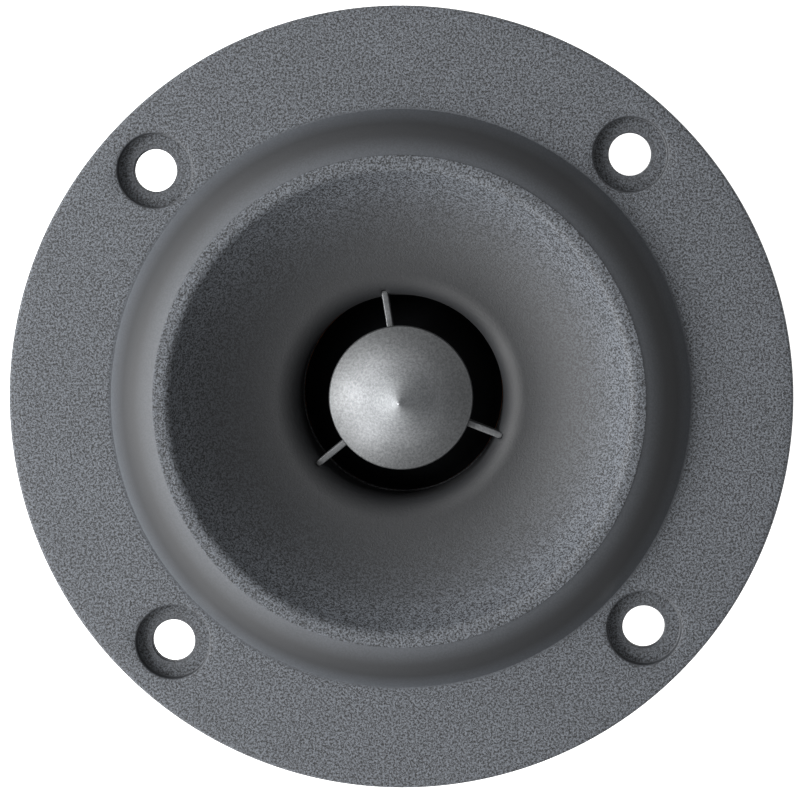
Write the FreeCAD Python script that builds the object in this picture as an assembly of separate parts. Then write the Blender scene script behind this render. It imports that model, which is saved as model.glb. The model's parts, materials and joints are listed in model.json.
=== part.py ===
import FreeCAD, Part
import math
import os

os.makedirs("parts", exist_ok=True)

# A four-inch-class car bullet tweeter. Millimetres, +Z out of the horn, towards the listener.
# The origin is the centre of the four panel screws, on the rear face of the flange.

# Flange and its screw holes
FLANGE_RADIUS = 49.0
FLANGE_THICKNESS = 3.0
FLANGE_EDGE_RADIUS = 0.4
PANEL_HOLE_RADIUS = 2.65
BOLT_CIRCLE_RADIUS = 41.85
COUNTERBORE_RADIUS = 4.65
COUNTERBORE_DEPTH = 1.4

# Raised ring, horn flare and throat
RING_BASE_RADIUS = 36.2
CREST_OUTER_RADIUS = 30.5
CREST_INNER_RADIUS = 28.7
CREST_HEIGHT = 7.6
RING_BULGE_RADIUS = 11.5
FLARE_FOOT_RADIUS = 15.6
FLARE_FOOT_HEIGHT = -0.4
FLARE_BOWL_RADIUS = 16.9
THROAT_RADIUS = 12.9
THROAT_LIP_HEIGHT = -3.3
THROAT_LIP_RADIUS = 2.95
HORN_WALL = 2.4
HOLLOW_CREST_SLOPE = 0.6
HOLLOW_CREST_INSET = 0.4
HOLLOW_SKIRT_CORNER = 1.2

# Horn back: skirt, throat boss and screw bosses
SKIRT_RADIUS = 37.0
SKIRT_WALL = 2.2
PLATE_TOP = -14.0
THROAT_BOSS_RADIUS = 20.5
THROAT_BOSS_END = -12.0
SURROUND_RELIEF_RADIUS = 15.8
SURROUND_RELIEF_END = -11.4
SCREW_CIRCLE_RADIUS = 32.4
SCREW_BOSS_RADIUS = 3.3
SCREW_PILOT_RADIUS = 1.3
HORN_RIB_THICKNESS = 1.6

# Phase plug
PLUG_BRIM_RADIUS = 9.1
PLUG_BRIM_THICKNESS = 0.6
PLUG_BRIM_TOP = -0.8
PLUG_BRIM_UNDERCUT = 0.3
PLUG_BRIM_DRAFT = 0.1
PLUG_SHOULDER_RADIUS = 8.55
PLUG_SHOULDER_BULGE = 12.3
PLUG_WAIST_RADIUS = 5.8
PLUG_WAIST_HEIGHT = 4.3
PLUG_NOSE_BULGE = 44.6
PLUG_TIP_HEIGHT = 9.6
PLUG_TIP_FLAT_RADIUS = 0.12
PLUG_BASE_RADIUS = 7.4
PLUG_GAP = 0.7
PLUG_RIB_THICKNESS = 0.75
PLUG_RIB_INNER_RADIUS = 6.5
PLUG_RIB_TOP = -1.9
PLUG_RIB_BOTTOM = -4.6
PLUG_RIB_ANGLES = (97.0, 217.0, 337.0)
RIB_NOTCH_RADIUS = 13.7
RIB_NOTCH_CLEARANCE = 0.05

# Diaphragm assembly
COIL_FORMER_RADIUS = 12.77
COIL_FORMER_WALL = 0.12
COIL_FORMER_TOP = -12.9
COIL_FORMER_BOTTOM = -18.0
WINDING_RADIUS = 13.12
WINDING_TOP = -14.8
WINDING_BOTTOM = -17.4
DOME_RADIUS = 12.77
DOME_HEIGHT = 6.5
DOME_THICKNESS = 0.15
SURROUND_SEAT = -13.3
SURROUND_THICKNESS = 0.2
SURROUND_INNER_RADIUS = 12.82
SURROUND_OUTER_RADIUS = 15.6
ROLL_CENTRE_RADIUS = 13.7
ROLL_RADIUS = 0.55

# Carrier, gasket, tags and lead-outs
CARRIER_INNER_RADIUS = 13.9
CARRIER_OUTER_RADIUS = 20.3
CARRIER_STEP_RADIUS = 15.7
CARRIER_TOP = -12.4
GASKET_INSET = 0.2
CARRIER_EAR_RADIUS = 27.0
CARRIER_EAR_WIDTH = 7.0
TAG_SEAT = -13.35
TAG_THICKNESS = 0.5
TAG_WIDTH = 3.0
TAG_INNER_RADIUS = 17.5
TAG_OUTER_RADIUS = 26.5
TAG_EYE_RADIUS = 0.6
TAG_EYE_INSET = 1.5
LEAD_WIDTH = 0.8
LEAD_THICKNESS = 0.2
LEAD_INNER_RADIUS = 13.5
LEAD_OVERLAP = 1.5
GROOVE_CLEARANCE = 0.1
GROOVE_END_CLEARANCE = 0.3
PIN_RADIUS = 1.0
PIN_CIRCLE_RADIUS = 18.2
TERMINAL_SIDES = {"positive": 22.5, "negative": 157.5}

# Magnet system
PLATE_THICKNESS = 4.0
PLATE_RADIUS = 36.6
PLATE_BORE_RADIUS = 13.45
WIRE_SLOT_INNER_RADIUS = 30.3
WIRE_SLOT_OUTER_RADIUS = 33.4
WIRE_SLOT_WIDTH = 2.4
MAGNET_RADIUS = 29.5
MAGNET_BORE_RADIUS = 16.0
MAGNET_THICKNESS = 12.0
BACK_PLATE_RADIUS = 28.5
BACK_PLATE_THICKNESS = 4.0
POLE_RADIUS = 12.35
POLE_TOP = -14.6
POLE_SPIGOT_RADIUS = 8.0
POLE_CHAMFER = 0.6
FELT_RADIUS = 11.4
FELT_THICKNESS = 1.2

# Rear cover
COVER_END = -57.0
COVER_WALL = 2.0
COVER_EDGE_RADIUS = 1.0
PILLAR_RADIUS = 2.6
PILLAR_FOOT_RADIUS = 4.0
SCREW_CLEARANCE_RADIUS = 1.7
SCREW_RADIUS = 1.5
SCREW_HEAD_RADIUS = 2.75
SCREW_HEAD_HEIGHT = 2.0
SCREW_SEAT = -46.0
SCREW_TIP = -6.0
WELL_RADIUS = 3.0
RECESS_LENGTH = 36.0
RECESS_WIDTH = 20.0
RECESS_FLOOR = -43.0
WINDOW_LENGTH = 23.0
WINDOW_WIDTH = 14.4

# Screw heads, as shares of the head's height and radius
HEAD_ROUNDING = 0.45
CROSS_DEPTH = 0.6
CROSS_LENGTH = 1.1
CROSS_WIDTH = 0.22
POINT_RADIUS = 0.2

# Terminal board and push terminals
BOARD_LENGTH = 34.0
BOARD_WIDTH = 18.0
BOARD_THICKNESS = 1.6
BOARD_CORNER_RADIUS = 1.5
BOARD_SCREW_X = 14.2
BOARD_SCREW_RADIUS = 1.1
BOARD_SCREW_HEAD_RADIUS = 2.0
BOARD_SCREW_HEAD_HEIGHT = 1.3
BOARD_SCREW_REACH = 3.6
BOARD_SCREW_CLEARANCE = 0.1
BOARD_PILOT_RADIUS = 0.95
BOARD_PILOT_DEPTH = 4.0
BOARD_BOSS_RADIUS = 2.4
BOARD_BOSS_HEIGHT = 5.0
TERMINAL_X = 7.5
POST_RADIUS = 2.0
POST_BORE_RADIUS = 1.25
POST_INNER_END = -40.4
POST_OUTER_END = -49.0
POST_HEX_WIDTH = 6.0
POST_HEX_HEIGHT = 1.2
WIRE_HOLE_RADIUS = 0.9
WIRE_HOLE_HEIGHT = -47.2
PUSH_TRAVEL = 2.5
PLUNGER_RADIUS = 1.2
PLUNGER_HEAD_RADIUS = 1.75
PLUNGER_HEAD_HEIGHT = 0.6
CAP_RADIUS = 3.6
CAP_SKIRT_RADIUS = 2.35
CAP_RIM = -51.0
CAP_END = -56.0
CAP_END_WALL = 1.5
CAP_ROUNDING = 0.6
PLUNGER_COVER = 0.8
SPRING_WIRE_RADIUS = 0.2
SPRING_RADIUS = 1.65
SPRING_TURNS = 5
NUT_WIDTH = 6.0
NUT_HEIGHT = 1.6
SOLDER_TAG_THICKNESS = 0.5
SOLDER_TAG_RADIUS = 3.2
SOLDER_TAIL_Y = 4.6
SOLDER_TAIL_WIDTH = 2.4
SOLDER_TAIL_TOP = -38.6
THREAD_CLEARANCE = 0.03

# Internal hook-up wires
WIRE_RADIUS = 0.7
WIRE_START_RADIUS = 23.5
WIRE_DROP_RADIUS = 32.0
WIRE_CROSSING_HEIGHT = -37.5
WIRE_END_HEIGHT = -41.5
WIRE_BEND_RADIUS = 3.0
WIRE_TAIL_BEND_RADIUS = 1.5

UP = FreeCAD.Vector(0, 0, 1)
AXIS_POINT = FreeCAD.Vector(0, 0, 0)


def vec(x, y, z):
    return FreeCAD.Vector(x, y, z)


def polar(radius, degrees, z=0.0):
    angle = math.radians(degrees)
    return vec(radius * math.cos(angle), radius * math.sin(angle), z)


def rod(radius, low, high, centre=AXIS_POINT):
    """Solid cylinder along Z between two heights."""
    return Part.makeCylinder(radius, high - low, vec(centre.x, centre.y, low), UP)


def tube(inner, outer, low, high, centre=AXIS_POINT):
    return rod(outer, low, high, centre).cut(rod(inner, low, high, centre))


def block(length, width, low, high, centre=AXIS_POINT):
    corner = vec(centre.x - length / 2, centre.y - width / 2, low)
    return Part.makeBox(length, width, high - low, corner)


def spoke(inner, outer, width, low, high, degrees):
    """Flat bar that runs outwards from one radius to another."""
    bar = Part.makeBox(outer - inner, width, high - low, vec(inner, -width / 2, low))
    bar.rotate(AXIS_POINT, UP, degrees)
    return bar


def hexagon(across_flats, low, high, centre):
    corner = across_flats / math.sqrt(3)
    points = [polar(corner, 60 * k) + vec(centre.x, centre.y, low) for k in range(7)]
    face = Part.Face(Part.makePolygon(points))
    return face.extrude(vec(0, 0, high - low))


def bulge(start, end, radius, side):
    """Middle point of an arc between two (r, z) points; side +1 bows it to the left of travel."""
    dr = end[0] - start[0]
    dz = end[1] - start[1]
    chord = math.hypot(dr, dz)
    sagitta = radius - math.sqrt(radius * radius - chord * chord / 4)
    middle_r = (start[0] + end[0]) / 2 - side * sagitta * dz / chord
    middle_z = (start[1] + end[1]) / 2 + side * sagitta * dr / chord
    return (middle_r, middle_z)


def revolved(outline):
    """Turn a closed outline round Z. A step is an (r, z) corner, or (corner, middle) for an arc to it."""
    edges = []
    here = outline[0]
    for step in outline[1:] + [outline[0]]:
        if isinstance(step[0], tuple):
            there = step[0]
            middle = step[1]
            arc = Part.Arc(vec(here[0], 0, here[1]), vec(middle[0], 0, middle[1]),
                           vec(there[0], 0, there[1]))
            edges.append(arc.toShape())
        else:
            there = step
            edges.append(Part.LineSegment(vec(here[0], 0, here[1]), vec(there[0], 0, there[1])).toShape())
        here = there
    return Part.Face(Part.Wire(edges)).revolve(AXIS_POINT, UP, 360)


def horn_envelope():
    """Flange, ring, flare, throat bore and skirt, before the back is hollowed out."""
    edge = FLANGE_EDGE_RADIUS
    flange_top = FLANGE_THICKNESS
    crest_outer = (CREST_OUTER_RADIUS, CREST_HEIGHT)
    crest_inner = (CREST_INNER_RADIUS, CREST_HEIGHT)
    ring_base = (RING_BASE_RADIUS, flange_top)
    flare_foot = (FLARE_FOOT_RADIUS, FLARE_FOOT_HEIGHT)
    throat_lip = (THROAT_RADIUS, THROAT_LIP_HEIGHT)
    corner_cut = edge * (1 - math.sqrt(0.5))
    edge_middle = (FLANGE_RADIUS - corner_cut, flange_top - corner_cut)
    return revolved([
        (THROAT_RADIUS, PLATE_TOP),
        (SKIRT_RADIUS, PLATE_TOP),
        (SKIRT_RADIUS, 0.0),
        (FLANGE_RADIUS, 0.0),
        (FLANGE_RADIUS, flange_top - edge),
        ((FLANGE_RADIUS - edge, flange_top), edge_middle),
        ring_base,
        (crest_outer, bulge(ring_base, crest_outer, RING_BULGE_RADIUS, -1)),
        crest_inner,
        (flare_foot, bulge(crest_inner, flare_foot, FLARE_BOWL_RADIUS, 1)),
        (throat_lip, bulge(flare_foot, throat_lip, THROAT_LIP_RADIUS, -1)),
    ])


def horn_hollow():
    """Space behind the ring and the flare, round the throat boss."""
    skirt_inner = SKIRT_RADIUS - SKIRT_WALL
    ceiling = CREST_HEIGHT - HORN_WALL
    return revolved([
        (THROAT_BOSS_RADIUS, PLATE_TOP),
        (THROAT_BOSS_RADIUS, FLARE_FOOT_HEIGHT - HORN_WALL),
        (CREST_INNER_RADIUS, ceiling - HOLLOW_CREST_SLOPE),
        (CREST_OUTER_RADIUS - HOLLOW_CREST_INSET, ceiling),
        (skirt_inner, HOLLOW_SKIRT_CORNER),
        (skirt_inner, PLATE_TOP),
    ])


def horn_body():
    hollow = horn_hollow()
    for k in range(4):
        screw_place = polar(SCREW_CIRCLE_RADIUS, 90 * k)
        hollow = hollow.cut(rod(SCREW_BOSS_RADIUS, PLATE_TOP, CREST_HEIGHT, screw_place))
        rib = spoke(THROAT_BOSS_RADIUS - 1, SKIRT_RADIUS - 1, HORN_RIB_THICKNESS,
                    THROAT_BOSS_END, CREST_HEIGHT, 45 + 90 * k)
        hollow = hollow.cut(rib)
    body = horn_envelope().cut(hollow)
    body = body.cut(tube(THROAT_RADIUS - 1, THROAT_BOSS_RADIUS, PLATE_TOP, THROAT_BOSS_END))
    body = body.cut(tube(THROAT_RADIUS - 1, SURROUND_RELIEF_RADIUS, PLATE_TOP, SURROUND_RELIEF_END))
    counterbore_floor = FLANGE_THICKNESS - COUNTERBORE_DEPTH
    for k in range(4):
        hole = polar(BOLT_CIRCLE_RADIUS, 45 + 90 * k)
        body = body.cut(rod(PANEL_HOLE_RADIUS, -1, FLANGE_THICKNESS + 1, hole))
        body = body.cut(rod(COUNTERBORE_RADIUS, counterbore_floor, FLANGE_THICKNESS + 1, hole))
        screw_place = polar(SCREW_CIRCLE_RADIUS, 90 * k)
        body = body.cut(rod(SCREW_PILOT_RADIUS, PLATE_TOP, SCREW_TIP + 1, screw_place))
    notch_width = PLUG_RIB_THICKNESS + 2 * RIB_NOTCH_CLEARANCE
    for angle in PLUG_RIB_ANGLES:
        body = body.cut(spoke(THROAT_RADIUS - 1, RIB_NOTCH_RADIUS, notch_width, PLUG_RIB_BOTTOM, 0, angle))
    return body


def dome_centre_height():
    """Height of the centre of the dome's outer sphere."""
    return COIL_FORMER_TOP + DOME_HEIGHT - dome_sphere_radius()


def dome_sphere_radius():
    return (DOME_RADIUS ** 2 + DOME_HEIGHT ** 2) / (2 * DOME_HEIGHT)


def phase_plug():
    """Pointed bullet whose hollow base follows the dome, with three ribs to the throat wall."""
    base_sphere = dome_sphere_radius() + PLUG_GAP
    centre = dome_centre_height()

    def base_point(radius):
        return (radius, centre + math.sqrt(base_sphere ** 2 - radius ** 2))

    shoulder = (PLUG_SHOULDER_RADIUS, PLUG_BRIM_TOP)
    waist = (PLUG_WAIST_RADIUS, PLUG_WAIST_HEIGHT)
    tip = (PLUG_TIP_FLAT_RADIUS, PLUG_TIP_HEIGHT)
    brim_bottom = PLUG_BRIM_TOP - PLUG_BRIM_THICKNESS
    plug = revolved([
        base_point(0.0),
        (base_point(PLUG_BASE_RADIUS), base_point(PLUG_BASE_RADIUS / 2)),
        (PLUG_SHOULDER_RADIUS, brim_bottom - PLUG_BRIM_UNDERCUT),
        (PLUG_BRIM_RADIUS, brim_bottom),
        (PLUG_BRIM_RADIUS, PLUG_BRIM_TOP - PLUG_BRIM_DRAFT),
        shoulder,
        (waist, bulge(shoulder, waist, PLUG_SHOULDER_BULGE, -1)),
        (tip, bulge(waist, tip, PLUG_NOSE_BULGE, -1)),
        (0.0, PLUG_TIP_HEIGHT),
    ])
    rib_end = RIB_NOTCH_RADIUS - RIB_NOTCH_CLEARANCE
    for angle in PLUG_RIB_ANGLES:
        rib = spoke(PLUG_RIB_INNER_RADIUS, rib_end, PLUG_RIB_THICKNESS, PLUG_RIB_BOTTOM, PLUG_RIB_TOP, angle)
        plug = plug.fuse(rib)
    return plug.removeSplitter()


def diaphragm_dome():
    """Thin spherical cap that stands on the coil former."""
    outer = dome_sphere_radius()
    inner = outer - DOME_THICKNESS
    centre = vec(0, 0, dome_centre_height())
    shell = Part.makeSphere(outer, centre).cut(Part.makeSphere(inner, centre))
    return shell.common(rod(DOME_RADIUS + 1, COIL_FORMER_TOP, 0))


def diaphragm_surround():
    """Flat lips on both sides of one half roll, pressed from thin cloth."""
    low = SURROUND_SEAT
    high = SURROUND_SEAT + SURROUND_THICKNESS
    outer_roll = ROLL_RADIUS + SURROUND_THICKNESS / 2
    inner_roll = ROLL_RADIUS - SURROUND_THICKNESS / 2
    middle = ROLL_CENTRE_RADIUS
    return revolved([
        (SURROUND_INNER_RADIUS, low),
        (middle - inner_roll, low),
        ((middle + inner_roll, low), (middle, low + inner_roll)),
        (SURROUND_OUTER_RADIUS, low),
        (SURROUND_OUTER_RADIUS, high),
        (middle + outer_roll, high),
        ((middle - outer_roll, high), (middle, high + outer_roll)),
        (SURROUND_INNER_RADIUS, high),
    ])


def voice_coil_former():
    inner = COIL_FORMER_RADIUS - COIL_FORMER_WALL
    return tube(inner, COIL_FORMER_RADIUS, COIL_FORMER_BOTTOM, COIL_FORMER_TOP)


def voice_coil_winding():
    return tube(COIL_FORMER_RADIUS, WINDING_RADIUS, WINDING_BOTTOM, WINDING_TOP)


def pin_places():
    return [polar(PIN_CIRCLE_RADIUS, angle) for angle in (90.0, 270.0)]


def diaphragm_carrier():
    """Stepped ring with one ear for each tag, grooved for the tags and the lead-outs."""
    carrier = tube(CARRIER_INNER_RADIUS, CARRIER_OUTER_RADIUS, PLATE_TOP, CARRIER_TOP)
    carrier = carrier.cut(rod(CARRIER_STEP_RADIUS, SURROUND_SEAT, CARRIER_TOP))
    for angle in TERMINAL_SIDES.values():
        ear_root = CARRIER_OUTER_RADIUS - 1
        ear = spoke(ear_root, CARRIER_EAR_RADIUS, CARRIER_EAR_WIDTH, PLATE_TOP, TAG_SEAT, angle)
        carrier = carrier.fuse(ear)
    for angle in TERMINAL_SIDES.values():
        tag_groove = TAG_WIDTH + 2 * GROOVE_CLEARANCE
        lead_groove = LEAD_WIDTH + 2 * GROOVE_CLEARANCE
        lead_floor = TAG_SEAT - LEAD_THICKNESS
        tag_start = TAG_INNER_RADIUS - GROOVE_END_CLEARANCE
        lead_end = TAG_INNER_RADIUS + LEAD_OVERLAP + GROOVE_END_CLEARANCE
        carrier = carrier.cut(spoke(tag_start, CARRIER_EAR_RADIUS + 1, tag_groove, TAG_SEAT, 0, angle))
        carrier = carrier.cut(spoke(LEAD_INNER_RADIUS, lead_end, lead_groove, lead_floor, 0, angle))
    for place in pin_places():
        carrier = carrier.cut(rod(PIN_RADIUS, PLATE_TOP, CARRIER_TOP, place))
    return carrier.removeSplitter()


def carrier_gasket():
    return tube(CARRIER_STEP_RADIUS + GASKET_INSET, CARRIER_OUTER_RADIUS, CARRIER_TOP, THROAT_BOSS_END)


def locating_pins():
    """Two pins, pressed into the top plate, that centre the carrier."""
    low = PLATE_TOP - PLATE_THICKNESS / 2
    return Part.makeCompound([rod(PIN_RADIUS, low, CARRIER_TOP, place) for place in pin_places()])


def carrier_tag(angle):
    tag = spoke(TAG_INNER_RADIUS, TAG_OUTER_RADIUS, TAG_WIDTH, TAG_SEAT, TAG_SEAT + TAG_THICKNESS, angle)
    return tag.cut(rod(TAG_EYE_RADIUS, TAG_SEAT, 0, polar(TAG_OUTER_RADIUS - TAG_EYE_INSET, angle)))


def lead_out(angle):
    """Flat tinsel ribbon from beside the coil to the underside of its tag."""
    low = TAG_SEAT - LEAD_THICKNESS
    return spoke(LEAD_INNER_RADIUS, TAG_INNER_RADIUS + LEAD_OVERLAP, LEAD_WIDTH, low, TAG_SEAT, angle)


def top_plate():
    low = PLATE_TOP - PLATE_THICKNESS
    plate = tube(PLATE_BORE_RADIUS, PLATE_RADIUS, low, PLATE_TOP)
    for k in range(4):
        plate = plate.cut(rod(SCREW_CLEARANCE_RADIUS, low, PLATE_TOP, polar(SCREW_CIRCLE_RADIUS, 90 * k)))
    for angle in TERMINAL_SIDES.values():
        plate = plate.cut(spoke(WIRE_SLOT_INNER_RADIUS, WIRE_SLOT_OUTER_RADIUS, WIRE_SLOT_WIDTH,
                                low, PLATE_TOP, angle))
    for place in pin_places():
        plate = plate.cut(rod(PIN_RADIUS, PLATE_TOP - PLATE_THICKNESS / 2, PLATE_TOP, place))
    return plate


MAGNET_TOP = PLATE_TOP - PLATE_THICKNESS
MAGNET_BOTTOM = MAGNET_TOP - MAGNET_THICKNESS
BACK_PLATE_BOTTOM = MAGNET_BOTTOM - BACK_PLATE_THICKNESS


def magnet():
    return tube(MAGNET_BORE_RADIUS, MAGNET_RADIUS, MAGNET_BOTTOM, MAGNET_TOP)


def back_plate():
    return tube(POLE_SPIGOT_RADIUS, BACK_PLATE_RADIUS, BACK_PLATE_BOTTOM, MAGNET_BOTTOM)


def pole_piece():
    """Round pole, chamfered at its top, with a spigot pressed into the back plate."""
    return revolved([
        (0.0, BACK_PLATE_BOTTOM),
        (POLE_SPIGOT_RADIUS, BACK_PLATE_BOTTOM),
        (POLE_SPIGOT_RADIUS, MAGNET_BOTTOM),
        (POLE_RADIUS, MAGNET_BOTTOM),
        (POLE_RADIUS, POLE_TOP - POLE_CHAMFER),
        (POLE_RADIUS - POLE_CHAMFER, POLE_TOP),
        (0.0, POLE_TOP),
    ])


def pole_felt():
    return rod(FELT_RADIUS, POLE_TOP, POLE_TOP + FELT_THICKNESS)


def rear_cover():
    """Round cup with four screw pillars and a sunk pocket for the terminals."""
    outside = rod(PLATE_RADIUS, COVER_END, MAGNET_TOP)
    rim_edges = [edge for edge in outside.Edges
                 if abs(edge.BoundBox.ZMax - COVER_END) < 0.01 and len(edge.Vertexes) == 1]
    outside = outside.makeFillet(COVER_EDGE_RADIUS, rim_edges)
    inside = rod(PLATE_RADIUS - COVER_WALL, COVER_END + COVER_WALL, MAGNET_TOP)
    wall = 2 * COVER_WALL
    pocket_shell = block(RECESS_LENGTH + wall, RECESS_WIDTH + wall, COVER_END, RECESS_FLOOR + COVER_WALL)
    inside = inside.cut(pocket_shell)
    for k in range(4):
        place = polar(SCREW_CIRCLE_RADIUS, 90 * k)
        inside = inside.cut(rod(PILLAR_RADIUS, COVER_END, MAGNET_TOP, place))
        inside = inside.cut(rod(PILLAR_FOOT_RADIUS, COVER_END, SCREW_SEAT + COVER_WALL, place))
    for x in (-BOARD_SCREW_X, BOARD_SCREW_X):
        boss_top = RECESS_FLOOR + BOARD_BOSS_HEIGHT
        inside = inside.cut(rod(BOARD_BOSS_RADIUS, RECESS_FLOOR, boss_top, vec(x, 0, 0)))
    cover = outside.cut(inside)
    cover = cover.cut(block(RECESS_LENGTH, RECESS_WIDTH, COVER_END - 1, RECESS_FLOOR))
    cover = cover.cut(block(WINDOW_LENGTH, WINDOW_WIDTH, RECESS_FLOOR - 1, RECESS_FLOOR + COVER_WALL + 1))
    for k in range(4):
        place = polar(SCREW_CIRCLE_RADIUS, 90 * k)
        cover = cover.cut(rod(SCREW_CLEARANCE_RADIUS, COVER_END, MAGNET_TOP, place))
        cover = cover.cut(rod(WELL_RADIUS, COVER_END - 1, SCREW_SEAT, place))
    for x in (-BOARD_SCREW_X, BOARD_SCREW_X):
        pilot_top = RECESS_FLOOR + BOARD_PILOT_DEPTH
        cover = cover.cut(rod(BOARD_PILOT_RADIUS, RECESS_FLOOR - 1, pilot_top, vec(x, 0, 0)))
    return cover


def pan_screw(place, radius, head_radius, head_height, seat, tip):
    """Screw pointing up +Z: rounded head under the seat, cross recess, plain shank, cone point."""
    head = rod(head_radius, seat - head_height, seat, place)
    bottom_edges = [edge for edge in head.Edges if abs(edge.BoundBox.ZMax - (seat - head_height)) < 0.01]
    head = head.makeFillet(head_height * HEAD_ROUNDING, bottom_edges)
    shank = rod(radius, seat, tip - radius, place)
    point = Part.makeCone(radius, POINT_RADIUS, radius, vec(place.x, place.y, tip - radius), UP)
    screw = head.fuse(shank).fuse(point)
    head_end = seat - head_height
    slot_end = head_end + head_height * CROSS_DEPTH
    for turn in (0, 90):
        slot = block(head_radius * CROSS_LENGTH, head_radius * CROSS_WIDTH, head_end - 1, slot_end)
        slot.rotate(AXIS_POINT, UP, turn)
        slot.translate(vec(place.x, place.y, 0))
        screw = screw.cut(slot)
    return screw.removeSplitter()


def assembly_screws():
    places = [polar(SCREW_CIRCLE_RADIUS, 90 * k) for k in range(4)]
    screws = [pan_screw(place, SCREW_RADIUS, SCREW_HEAD_RADIUS, SCREW_HEAD_HEIGHT, SCREW_SEAT, SCREW_TIP)
              for place in places]
    return Part.makeCompound(screws)


def board_bottom():
    return RECESS_FLOOR - BOARD_THICKNESS


def terminal_board():
    board = block(BOARD_LENGTH, BOARD_WIDTH, board_bottom(), RECESS_FLOOR)
    corners = [edge for edge in board.Edges if abs(edge.BoundBox.ZLength - BOARD_THICKNESS) < 0.01]
    board = board.makeFillet(BOARD_CORNER_RADIUS, corners)
    for x in (-TERMINAL_X, TERMINAL_X):
        board = board.cut(rod(POST_RADIUS + THREAD_CLEARANCE, board_bottom(), RECESS_FLOOR, vec(x, 0, 0)))
    for x in (-BOARD_SCREW_X, BOARD_SCREW_X):
        board = board.cut(rod(BOARD_SCREW_RADIUS + BOARD_SCREW_CLEARANCE, board_bottom(), RECESS_FLOOR,
                              vec(x, 0, 0)))
    return board


def terminal_board_screws():
    screws = [pan_screw(vec(x, 0, 0), BOARD_SCREW_RADIUS, BOARD_SCREW_HEAD_RADIUS, BOARD_SCREW_HEAD_HEIGHT,
                        board_bottom(), RECESS_FLOOR + BOARD_SCREW_REACH)
              for x in (-BOARD_SCREW_X, BOARD_SCREW_X)]
    return Part.makeCompound(screws)


def cross_hole(place, height):
    length = 4 * POST_RADIUS
    return Part.makeCylinder(WIRE_HOLE_RADIUS, length, vec(place.x, -length / 2, height), vec(0, 1, 0))


def post(place):
    """Threaded tube with a hexagon that bears on the board, drilled across for the wire."""
    body = rod(POST_RADIUS, POST_OUTER_END, POST_INNER_END, place)
    body = body.fuse(hexagon(POST_HEX_WIDTH, board_bottom() - POST_HEX_HEIGHT, board_bottom(), place))
    body = body.cut(rod(POST_BORE_RADIUS, POST_OUTER_END - 1, POST_INNER_END + 1, place))
    return body.cut(cross_hole(place, WIRE_HOLE_HEIGHT))


def plunger(place):
    """Pin with a retaining head inside; its cross hole meets the post's when it is pushed in."""
    pin = rod(PLUNGER_RADIUS, CAP_END + PLUNGER_COVER, POST_INNER_END, place)
    pin = pin.fuse(rod(PLUNGER_HEAD_RADIUS, POST_INNER_END, POST_INNER_END + PLUNGER_HEAD_HEIGHT, place))
    return pin.cut(cross_hole(place, WIRE_HOLE_HEIGHT - PUSH_TRAVEL))


def push_cap(place):
    """Round button with a skirt that covers the spring."""
    cap = rod(CAP_RADIUS, CAP_END, CAP_RIM, place)
    end_edges = [edge for edge in cap.Edges if abs(edge.BoundBox.ZMax - CAP_END) < 0.01]
    cap = cap.makeFillet(CAP_ROUNDING, end_edges)
    cap = cap.cut(rod(CAP_SKIRT_RADIUS, CAP_END + CAP_END_WALL, CAP_RIM, place))
    return cap.cut(rod(PLUNGER_RADIUS, CAP_END + PLUNGER_COVER, CAP_RIM, place))


def push_spring(place):
    """Helical spring, drawn with eight-sided wire, between the post's outer end and the inside of the cap."""
    low = CAP_END + CAP_END_WALL
    length = POST_OUTER_END - low
    run = length - 2 * SPRING_WIRE_RADIUS
    helix = Part.makeHelix(run / SPRING_TURNS, run, SPRING_RADIUS)
    corner_angles = [math.radians(22.5 + 45 * k) for k in range(9)]
    section = Part.makePolygon([vec(SPRING_RADIUS + SPRING_WIRE_RADIUS * math.cos(angle), 0,
                                    SPRING_WIRE_RADIUS * math.sin(angle)) for angle in corner_angles])
    coil = Part.Wire(helix).makePipeShell([section], True, True)
    coil.translate(vec(place.x, place.y, low + SPRING_WIRE_RADIUS))
    return coil


def solder_tag(place):
    """Washer under the nut with a tail bent up for the wire."""
    top = RECESS_FLOOR + SOLDER_TAG_THICKNESS
    tail_end = SOLDER_TAIL_Y + SOLDER_TAG_THICKNESS
    tag = rod(SOLDER_TAG_RADIUS, RECESS_FLOOR, top, place)
    neck = Part.makeBox(SOLDER_TAIL_WIDTH, tail_end, SOLDER_TAG_THICKNESS,
                        vec(place.x - SOLDER_TAIL_WIDTH / 2, 0, RECESS_FLOOR))
    tail = Part.makeBox(SOLDER_TAIL_WIDTH, SOLDER_TAG_THICKNESS, SOLDER_TAIL_TOP - RECESS_FLOOR,
                        vec(place.x - SOLDER_TAIL_WIDTH / 2, SOLDER_TAIL_Y, RECESS_FLOOR))
    tag = tag.fuse(neck).fuse(tail).removeSplitter()
    return tag.cut(rod(POST_RADIUS + THREAD_CLEARANCE, RECESS_FLOOR, top, place))


def post_nuts():
    low = RECESS_FLOOR + SOLDER_TAG_THICKNESS
    nuts = []
    for x in (-TERMINAL_X, TERMINAL_X):
        place = vec(x, 0, 0)
        nut = hexagon(NUT_WIDTH, low, low + NUT_HEIGHT, place)
        nuts.append(nut.cut(rod(POST_RADIUS + THREAD_CLEARANCE, low, low + NUT_HEIGHT, place)))
    return Part.makeCompound(nuts)


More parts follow.
